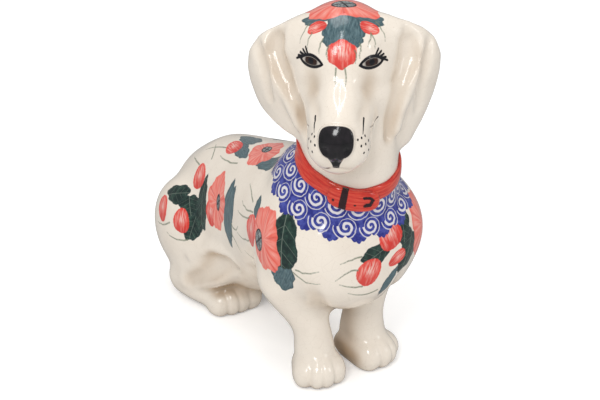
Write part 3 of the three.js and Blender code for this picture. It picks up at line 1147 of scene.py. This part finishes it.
# Deep red of the strap's streaks, also used as painted shade along its low edges.
STRAP_DEEP_AND_SHADE = (0.36, 0.012, 0.010)
MOUTH_RED = (0.09, 0.018, 0.018)
NOSE_BLACK = (0.004, 0.004, 0.005)
NOSE_PALE = (0.014, 0.011, 0.014)
HEART = (0.10, 0.12, 0.13)
HEART_PALE = (0.33, 0.35, 0.34)
SPECK = (0.36, 0.25, 0.16)
CRAZING = (0.45, 0.36, 0.27)
LEAF_RIB = (0.34, 0.40, 0.33)
LEAF_EDGE = (0.02, 0.045, 0.05)
BUD_SHINE = (0.86, 0.66, 0.58)
STEM_PALE = (0.20, 0.24, 0.17)
COBALT_DEEP = (0.018, 0.026, 0.20)
LACE_WHITE = (0.74, 0.71, 0.72)
EYE_SHADE = (0.12, 0.10, 0.09)
EYE_WHITE = (0.50, 0.45, 0.40)
IRIS_PALE = (0.045, 0.018, 0.011)

LACE_REPEATS = 16
LACE_ROWS = (6.4, 16.6)  # mm below the collar
LACE_TOP = 0.6
LACE_FOOT = 22.6
SCROLL_PITCH = 2.9  # between a scroll's turns
SCROLL_LINE = 0.46  # share of the pitch that is white


class Number:
    """A number in a node tree. Arithmetic on it adds Math nodes."""

    def __init__(self, brush, socket):
        self.brush = brush
        self.socket = socket

    def __add__(self, other):
        return self.brush.math("ADD", self, other)

    def __sub__(self, other):
        return self.brush.math("SUBTRACT", self, other)

    def __rsub__(self, other):
        return self.brush.math("SUBTRACT", other, self)

    def __mul__(self, other):
        return self.brush.math("MULTIPLY", self, other)

    def __truediv__(self, other):
        return self.brush.math("DIVIDE", self, other)

    __radd__ = __add__
    __rmul__ = __mul__


class Brush:
    """One glazed material, built up in painted layers."""

    def __init__(self, name):
        self.material = bpy.data.materials.new(name)
        self.material.use_nodes = True
        self.tree = self.material.node_tree
        self.shader = self.tree.nodes["Principled BSDF"]
        place = self.node("ShaderNodeTexCoord").outputs["Object"]
        scaled = self.node("ShaderNodeVectorMath", operation="SCALE")
        self.tree.links.new(place, scaled.inputs[0])
        scaled.inputs["Scale"].default_value = 1000
        self.place = scaled.outputs[0]  # in mm

    def node(self, kind, **settings):
        made = self.tree.nodes.new(kind)
        for key, value in settings.items():
            setattr(made, key, value)
        return made

    def put(self, value, socket):
        if isinstance(value, Number):
            value = value.socket
        if isinstance(value, bpy.types.NodeSocket):
            self.tree.links.new(value, socket)
        elif isinstance(value, tuple):
            socket.default_value = (*value, 1)[: len(socket.default_value)]
        else:
            socket.default_value = value

    def math(self, operation, *values, clamp=False):
        made = self.node("ShaderNodeMath", operation=operation, use_clamp=clamp)
        for value, socket in zip(values, made.inputs):
            self.put(value, socket)
        return Number(self, made.outputs[0])

    def layer(self, name):
        """A stored number."""
        return Number(self, self.node("ShaderNodeAttribute", attribute_name=name).outputs["Fac"])

    def layer_parts(self, name):
        """The three parts of a stored vector."""
        vector = self.node("ShaderNodeAttribute", attribute_name=name).outputs["Vector"]
        split = self.node("ShaderNodeSeparateXYZ")
        self.tree.links.new(vector, split.inputs[0])
        return [Number(self, output) for output in split.outputs]

    def vector(self, x, y, z):
        made = self.node("ShaderNodeCombineXYZ")
        for value, socket in zip((x, y, z), made.inputs):
            self.put(value, socket)
        return made.outputs[0]

    def noise(self, size, detail=3.0, at=None, rough=0.55):
        """Cloudy noise, about 0 to 1, with features of about `size` mm."""
        made = self.node("ShaderNodeTexNoise")
        self.put(at if at is not None else self.place, made.inputs["Vector"])
        made.inputs["Scale"].default_value = 1 / size
        made.inputs["Detail"].default_value = detail
        made.inputs["Roughness"].default_value = rough
        return Number(self, made.outputs["Fac"])

    def cracks(self, size):
        """Distance to the nearest edge of cells of about `size` mm."""
        made = self.node("ShaderNodeTexVoronoi", feature="DISTANCE_TO_EDGE")
        self.put(self.place, made.inputs["Vector"])
        made.inputs["Scale"].default_value = 1 / size
        return Number(self, made.outputs["Distance"])

    def between(self, low, high, value):
        """0 at `low` to 1 at `high`."""
        made = self.node("ShaderNodeMapRange", interpolation_type="SMOOTHSTEP")
        self.put(value, made.inputs["Value"])
        made.inputs["From Min"].default_value = low
        made.inputs["From Max"].default_value = high
        return Number(self, made.outputs["Result"])

    def mix(self, share, first, second):
        made = self.node("ShaderNodeMix", data_type="RGBA")
        self.put(share, made.inputs[0])
        self.put(first, made.inputs[6])
        self.put(second, made.inputs[7])
        return made.outputs[2]

    def cover(self, distance, soft=0.35):
        """1 inside an outline, 0 outside."""
        return self.math("MULTIPLY_ADD", distance, -1 / soft, 0.5, clamp=True)

    def finish(self, colour, roughness, relief):
        """Sets the fired glaze: a glossy coat over the painted body."""
        self.put(colour, self.shader.inputs["Base Color"])
        self.put(roughness, self.shader.inputs["Roughness"])
        self.shader.inputs["Specular IOR Level"].default_value = 0.35
        self.shader.inputs["Coat Weight"].default_value = 0.45
        self.shader.inputs["Coat Roughness"].default_value = 0.035
        made = self.node("ShaderNodeBump")
        made.inputs["Strength"].default_value = 0.25
        made.inputs["Distance"].default_value = 0.0004
        self.put(relief, made.inputs["Height"])
        self.tree.links.new(made.outputs[0], self.shader.inputs["Normal"])
        self.tree.links.new(made.outputs[0], self.shader.inputs["Coat Normal"])
        return self.material


def bare_glaze(brush):
    """Ivory glaze, tan where it pools and where shade is painted into corners and undersides, with fired
    specks and faint crazing.
    """
    cloud = brush.noise(17.0, 3.0)
    colour = brush.mix(brush.between(0.35, 0.75, cloud) * 0.45, IVORY, IVORY_WARM)
    # Tan for pooled glaze together with painted shade in corners and underneath.
    pool_and_shade = brush.between(0.10, 0.75, brush.layer("pool_and_shade") + (cloud - 0.5) * 0.12)
    colour = brush.mix(pool_and_shade * 0.9, colour, POOL_AND_SHADE_TAN)
    speck = brush.between(0.70, 0.76, brush.noise(0.9, 1.0)) * 0.22
    colour = brush.mix(speck, colour, SPECK)
    craze = brush.between(0.035, 0.0, brush.cracks(5.0)) * 0.10
    return brush.mix(craze, colour, CRAZING)


def flowers(brush, colour):
    """Leaves, then petals, their dark hearts and the stems."""
    u, v, distance = brush.layer_parts("leaf")
    slate = brush.layer("leaf_kind")
    wobble = (brush.noise(2.2, 2.0) - 0.5) * 0.9
    wash = brush.noise(3.4, 4.0)
    stroke = brush.noise(0.55, 2.0, brush.vector(u * 1.2, v * 5.0, 0.0))
    dark = brush.mix(brush.between(0.35, 0.8, wash), LEAF_DARK, LEAF_GREEN)
    pale = brush.mix(brush.between(0.3, 0.75, stroke), SLATE, SLATE_PALE)
    leaf = brush.mix(slate, dark, pale)
    rib = brush.math("ABSOLUTE", v - u * 0.08)
    side_rib = brush.math("ABSOLUTE", brush.math("FRACT", u * 2.4 + brush.math("ABSOLUTE", v) * 1.1) - 0.5)
    side_ribs = brush.between(0.05, 0.0, side_rib) * 0.7
    scratched = brush.math("MAXIMUM", brush.between(0.045, 0.0, rib), side_ribs)
    leaf = brush.mix(scratched * (1.0 - slate * 0.7) * 0.4, leaf, LEAF_RIB)
    edge_tone = brush.between(-1.6, -0.1, distance)
    leaf = brush.mix(edge_tone * 0.35, leaf, LEAF_EDGE)
    thin = brush.between(0.15, 0.4, brush.noise(6.0, 3.0)) * 0.04 + 0.96
    colour = brush.mix(brush.cover(distance + wobble) * thin, colour, leaf)

    u, v, distance = brush.layer_parts("bloom")
    bud = brush.layer("bloom_kind")
    turn = brush.math("ARCTAN2", v, u)
    radius = brush.math("SQRT", u * u + v * v)
    streak = brush.noise(0.33, 3.0, brush.vector(turn * 1.6, radius * 0.35, bud))
    petal = brush.mix(brush.between(0.30, 0.75, streak), CORAL, CORAL_PALE)
    fold = brush.math("ABSOLUTE", brush.math("SINE", turn * 2.5 + 0.6))
    crease = brush.between(0.22, 0.0, fold) * brush.between(0.1, 0.5, radius) * 0.55
    petal = brush.mix(crease, petal, CORAL_DEEP)
    rim = brush.between(-2.4, -0.3, distance + wobble)
    petal = brush.mix(rim * 0.45, petal, CORAL)
    stripe = brush.noise(0.5, 3.0, brush.vector(u * 0.5, v * 2.6, 3.0))
    cup = brush.mix(brush.between(0.48, 0.74, stripe), BUD_RED, CORAL_PALE)
    shine = brush.between(0.75, 0.1, brush.math("SQRT", (u - 0.25) * (u - 0.25) + v * v * 0.8))
    cup = brush.mix(shine * brush.between(0.35, 0.6, stripe) * 0.8, cup, BUD_SHINE)
    cup = brush.mix(brush.between(0.15, -0.85, u) * 0.6, cup, CORAL_DEEP)
    bloom = brush.mix(bud, petal, cup)
    colour = brush.mix(brush.cover(distance + wobble * 0.6) * 0.97, colour, bloom)

    u, v, distance = brush.layer_parts("heart")
    bars = brush.math("ABSOLUTE", v - u * 0.3), brush.math("ABSOLUTE", u + v * 0.4)
    lattice = brush.math("MINIMUM", *bars)
    heart = brush.mix(brush.between(0.35, 0.7, brush.noise(1.2, 2.0)), HEART, HEART_PALE)
    heart = brush.mix(brush.between(0.16, 0.04, lattice), heart, INK)
    heart = brush.mix(brush.between(-0.9, -0.3, distance), heart, INK)
    colour = brush.mix(brush.cover(distance + wobble * 0.3), colour, heart)
    stem_tone = brush.mix(brush.noise(2.5, 2.0), STEM, STEM_PALE)
    dry = brush.between(0.25, 0.45, brush.noise(0.8, 2.0)) * 0.35 + 0.5
    return brush.mix(brush.cover(brush.layer("stem"), 0.5) * dry, colour, stem_tone)


def scroll(brush, turns, down, row, shift):
    """One row of running spiral scrolls, 1 on the white line."""
    cell = brush.math("FRACT", turns + shift) - 0.5
    pitch = 11.7 + 0.19 * (row - 5.0)
    wobble = (brush.noise(2.4, 1.0) - 0.5) * 1.1
    x = cell * pitch + wobble
    y = down - row + wobble * 0.6
    radius = brush.math("SQRT", x * x + y * y)
    turn = brush.math("ARCTAN2", y, x) / (2 * math.pi)
    phase = brush.math("FRACT", radius / SCROLL_PITCH - turn)
    line = brush.math("ABSOLUTE", phase - 0.5) * 2.0
    drawn = brush.between(1 - SCROLL_LINE - 0.12, 1 - SCROLL_LINE + 0.12, line)
    reach = turn * 3.2 + 5.5
    inside = brush.between(0.3, -0.3, radius - reach)
    core = brush.between(0.3, 0.7, radius)
    return drawn * inside * core


def lace_band(brush, colour):
    """Cobalt band below the collar: two rows of scrolls and a scalloped, dotted foot."""
    x, y, down = brush.layer_parts("lace")
    turns = brush.math("ARCTAN2", x, y) * (LACE_REPEATS / (2 * math.pi))
    bow = brush.math("COSINE", turns * (2 * math.pi))
    teeth = brush.math("ABSOLUTE", brush.math("SINE", turns * (math.pi * 5)))
    ragged = (brush.noise(1.8, 2.0) - 0.5) * 0.9
    foot = LACE_FOOT - bow * 1.7 + teeth * 1.0 + ragged
    top = LACE_TOP + bow * 0.9 + brush.math("ABSOLUTE", brush.math("SINE", turns * (math.pi * 4))) * 0.5
    band = brush.cover(down - foot) * brush.cover(top - down)
    wash = brush.between(0.35, 0.72, brush.noise(2.8, 4.0))
    blue = brush.mix(wash, COBALT, COBALT_PALE)
    edge = brush.between(1.3, 0.0, foot - down)
    blue = brush.mix(edge * 0.6, blue, COBALT_DEEP)
    white = scroll(brush, turns, down, LACE_ROWS[0], 0.0)
    white = brush.math("MAXIMUM", white, scroll(brush, turns, down, LACE_ROWS[1], 0.5))
    gaps = brush.between(0.62, 0.7, brush.noise(4.5, 1.0))
    blue = brush.mix(gaps * 0.35, blue, COBALT_PALE)
    blue = brush.mix(white * 0.92, blue, LACE_WHITE)
    return brush.mix(band, colour, blue)


def features(brush, colour):
    """Eyes, lashes, whiskers, nose and mouth."""
    u, v, lids = brush.layer_parts("eye")
    centre = brush.math("SQRT", (u + 0.2) * (u + 0.2) + (v - 0.6) * (v - 0.6))
    white = brush.mix(brush.between(3.0, 5.5, centre), EYE_SHADE, EYE_WHITE)
    iris = brush.mix(brush.noise(0.9, 2.0), IRIS, IRIS_PALE)
    pupil = brush.cover(centre - 1.7, 0.5)
    iris = brush.mix(pupil, iris, INK)
    eye = brush.mix(brush.cover(centre - IRIS_RADIUS, 0.4), white, iris)
    colour = brush.mix(brush.cover(lids), colour, eye)
    colour = brush.mix(brush.cover(brush.layer("ink"), 0.3), colour, INK)
    nose = brush.mix(brush.between(0.3, 0.7, brush.noise(4.0, 3.0)), NOSE_BLACK, NOSE_PALE)
    colour = brush.mix(brush.cover(brush.layer("nose")), colour, nose)
    return brush.mix(brush.cover(brush.layer("mouth"), 0.4) * 0.85, colour, MOUTH_RED)


def glazed(name, *layers):
    """Ivory glaze with the painted layers that a casting carries."""
    brush = Brush(name)
    colour = bare_glaze(brush)
    for paint in layers:
        colour = paint(brush, colour)
    roughness = brush.between(0.2, 0.8, brush.noise(9.0, 3.0)) * 0.08 + 0.16
    relief = brush.noise(7.0, 2.0) + brush.noise(1.1, 2.0) * 0.12
    return brush.finish(colour, roughness, relief)


def red_glaze():
    """Brushed coral red, darker in its streaks, with painted shade along its low edges against the neck, and
    black marks.
    """
    brush = Brush("red_glaze")
    along, across, lift = brush.layer_parts("strap_place")
    streak = brush.noise(1.0, 4.0, brush.vector(along * 0.10, across * 0.9, 0.0))
    colour = brush.mix(brush.between(0.36, 0.66, streak), STRAP_RED, STRAP_ORANGE)
    dark = brush.noise(1.0, 3.0, brush.vector(along * 0.07, across * 1.3, 7.0))
    colour = brush.mix(brush.between(0.52, 0.72, dark) * 0.75, colour, STRAP_DEEP_AND_SHADE)
    # Painted shade: darker where the strap sits low, along its edges and underside against the neck.
    colour = brush.mix(brush.between(1.6, 0.2, lift) * 0.7, colour, STRAP_DEEP_AND_SHADE)
    ragged = (brush.noise(1.2, 2.0) - 0.5) * 0.5
    colour = brush.mix(brush.cover(brush.layer("mark") + ragged) * 0.97, colour, INK)
    roughness = brush.between(0.2, 0.8, brush.noise(6.0, 3.0)) * 0.08 + 0.14
    relief = brush.noise(5.0, 2.0) + streak * 0.15
    return brush.finish(colour, roughness, relief)


# ---- The dog ----

# The layer of pooled glaze and painted shade that every casting carries.
BASE_LAYERS = {"pool_and_shade": pooled_and_shaded}
BODY_LAYERS = {**BASE_LAYERS, **skin.layers}
HEAD_LAYERS = {**BASE_LAYERS, **face.layers}
plain = glazed("ivory_glaze")
flowered = glazed("ivory_glaze_with_flowers", flowers)
laced = glazed("ivory_glaze_with_lace", flowers, lace_band)
faced = glazed("ivory_glaze_with_face", flowers, features)
LOOKS = {
    "body_casting": (laced, {**BODY_LAYERS, "lace": lace}),
    "head_casting": (faced, HEAD_LAYERS),
    **{leg: (flowered, BODY_LAYERS) for leg in FORELEGS + HIND_LEGS},
}
for index, node in enumerate(CASTINGS):
    material, layers = LOOKS.get(node, (plain, BASE_LAYERS))
    piece = casting_piece(index, layers)
    piece.data.materials.append(material)
    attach(piece, "root")
    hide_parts(node)

red = red_glaze()
for piece, node in ((collar_strap(), "collar_strap"), (collar_tongue(), "collar_tongue")):
    piece.data.materials.append(red)
    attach(piece, "root")
    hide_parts(node)


# ---- Floor, light and camera ----

VIEW_AZIMUTH = -33.0
VIEW_ELEVATION = 27.0
VIEW_DISTANCE = 0.85
VIEW_WIDTH = 0.33  # width of the picture at the dog
VIEW_AT = (-8.5, 16.0, 95.0)
SKY_STRENGTH = 0.65
SKY_REFLECTED = 0.34  # a dark room round the table keeps the glaze's reflections clean
FLOOR_HALF = 3.0
FLOOR_TONE = 0.93
FLOOR_REFLECTED = 0.35
FLOOR_LIFT = 0.26  # the table's own brightness, so that it fades to the white behind


def by_ray(tree, ray, rest, chosen, socket):
    """Gives a socket the value `chosen` for one kind of ray and `rest` for the others."""
    path = tree.nodes.new("ShaderNodeLightPath")
    choice = tree.nodes.new("ShaderNodeMapRange")
    tree.links.new(path.outputs[ray], choice.inputs["Value"])
    choice.inputs["To Min"].default_value = rest
    choice.inputs["To Max"].default_value = chosen
    tree.links.new(choice.outputs["Result"], socket)


def floor():
    """A white studio table."""
    mesh = bpy.data.meshes.new("studio_floor")
    corners = [(-1, -1), (1, -1), (1, 1), (-1, 1)]
    mesh.from_pydata([(x * FLOOR_HALF, y * FLOOR_HALF, 0) for x, y in corners], [], [(0, 1, 2, 3)])
    made = bpy.data.objects.new("studio_floor", mesh)
    bpy.context.scene.collection.objects.link(made)
    material = bpy.data.materials.new("studio_white")
    material.use_nodes = True
    tree = material.node_tree
    sockets = tree.nodes["Principled BSDF"].inputs
    sockets["Roughness"].default_value = 0.9
    sockets["Specular IOR Level"].default_value = 0.1
    sockets["Emission Color"].default_value = (1, 1, 1, 1)
    by_ray(tree, "Is Camera Ray", 0, FLOOR_LIFT, sockets["Emission Strength"])
    by_ray(tree, "Is Glossy Ray", FLOOR_TONE, FLOOR_REFLECTED, sockets["Base Color"])
    mesh.materials.append(material)


def soft_box(name, at, aim, size, power):
    light = bpy.data.lights.new(name, "AREA")
    light.shape = "RECTANGLE"
    light.size, light.size_y = size
    light.energy = power
    made = bpy.data.objects.new(name, light)
    made.location = at
    made.rotation_euler = (Vector(aim) - Vector(at)).to_track_quat("-Z", "Y").to_euler()
    bpy.context.scene.collection.objects.link(made)


def studio_light():
    world = bpy.data.worlds.new("studio")
    world.use_nodes = True
    sky = world.node_tree.nodes["Background"]
    sky.inputs["Color"].default_value = (1.0, 1.0, 1.0, 1)
    by_ray(world.node_tree, "Is Glossy Ray", SKY_STRENGTH, SKY_REFLECTED, sky.inputs["Strength"])
    bpy.context.scene.world = world
    middle = (0, 0, 0.1)
    soft_box("key_light", (-0.75, -0.65, 0.95), middle, (0.26, 0.5), 4.7)
    soft_box("strip_light", (-0.28, -0.36, 0.92), middle, (0.06, 0.7), 1.3)
    soft_box("fill_light", (0.55, -0.95, 0.6), middle, (0.10, 0.5), 1.2)
    soft_box("top_light", (0.1, 0.3, 1.2), middle, (0.5, 0.5), 2.2)


def camera():
    azimuth, elevation = math.radians(VIEW_AZIMUTH), math.radians(VIEW_ELEVATION)
    back = Vector((
        math.sin(azimuth) * math.cos(elevation),
        -math.cos(azimuth) * math.cos(elevation),
        math.sin(elevation),
    ))
    lens = bpy.data.cameras.new("camera")
    lens.sensor_width = 36
    lens.lens = lens.sensor_width * VIEW_DISTANCE / VIEW_WIDTH
    made = bpy.data.objects.new("camera", lens)
    made.location = Vector(to_row(VIEW_AT)) + back * VIEW_DISTANCE
    made.rotation_euler = (-back).to_track_quat("-Z", "Y").to_euler()
    bpy.context.scene.collection.objects.link(made)
    bpy.context.scene.camera = made


floor()
studio_light()
camera()
bpy.context.scene.view_settings.view_transform = "Standard"
